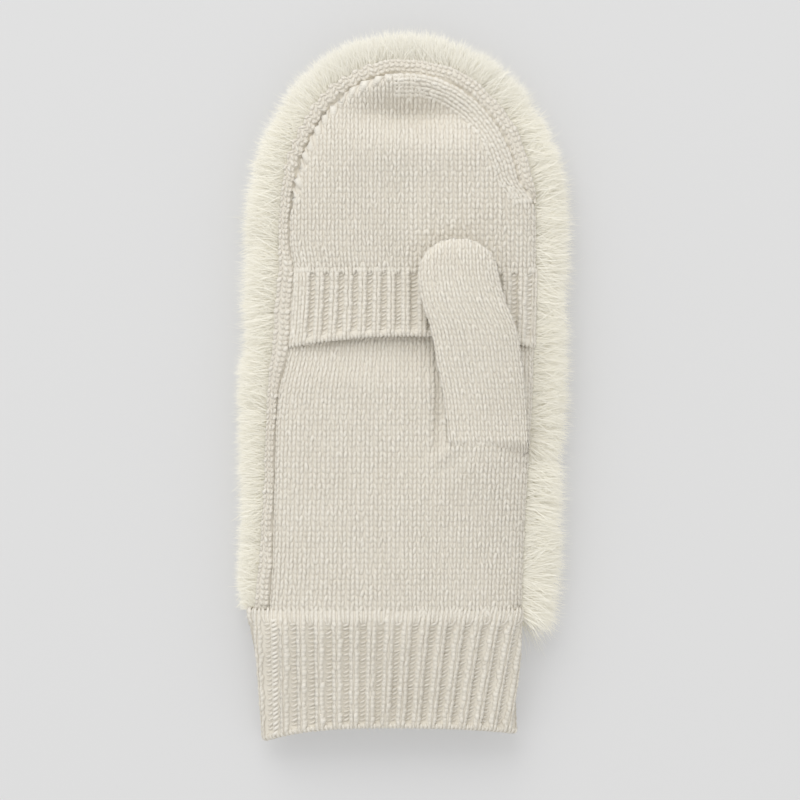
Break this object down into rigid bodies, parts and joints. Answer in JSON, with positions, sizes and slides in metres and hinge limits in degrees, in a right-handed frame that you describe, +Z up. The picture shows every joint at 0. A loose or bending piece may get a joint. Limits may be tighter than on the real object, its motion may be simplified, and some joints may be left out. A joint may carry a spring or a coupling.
{
  "type": "fur-backed knitted mitten with a fold-back fingertip hood",
  "caption": "Knitted mitten lying palm up on its fur back, with a ribbed cuff, a fold-back hood over the fingertips and a thumb folded across the palm.",
  "frame": {"origin": "on the surface it lies on, under the middle of the mitten's bounding box", "axes": "+Z up, out of the palm; +Y towards the fingertips; +X towards the thumb side"},
  "size_m": [0.1326, 0.2818, 0.0422],
  "materials": {
    "stocking_knit": "soft brushed cashmere in stocking stitch, oatmeal, matt",
    "rib_knit": "the same yarn in one by one rib, matt",
    "linked_seam": "linked seam in the same yarn, matt",
    "fur": "dense cream fur on a thin skin, soft sheen"
  },
  "bodies": {
    "root": {"cuff": "rib_knit", "palm": "stocking_knit", "hood": "stocking_knit", "hood_band": "rib_knit", "thumb": "stocking_knit", "edge_seam": "linked_seam", "fur_back": "fur"}
  },
  "joints": []
}
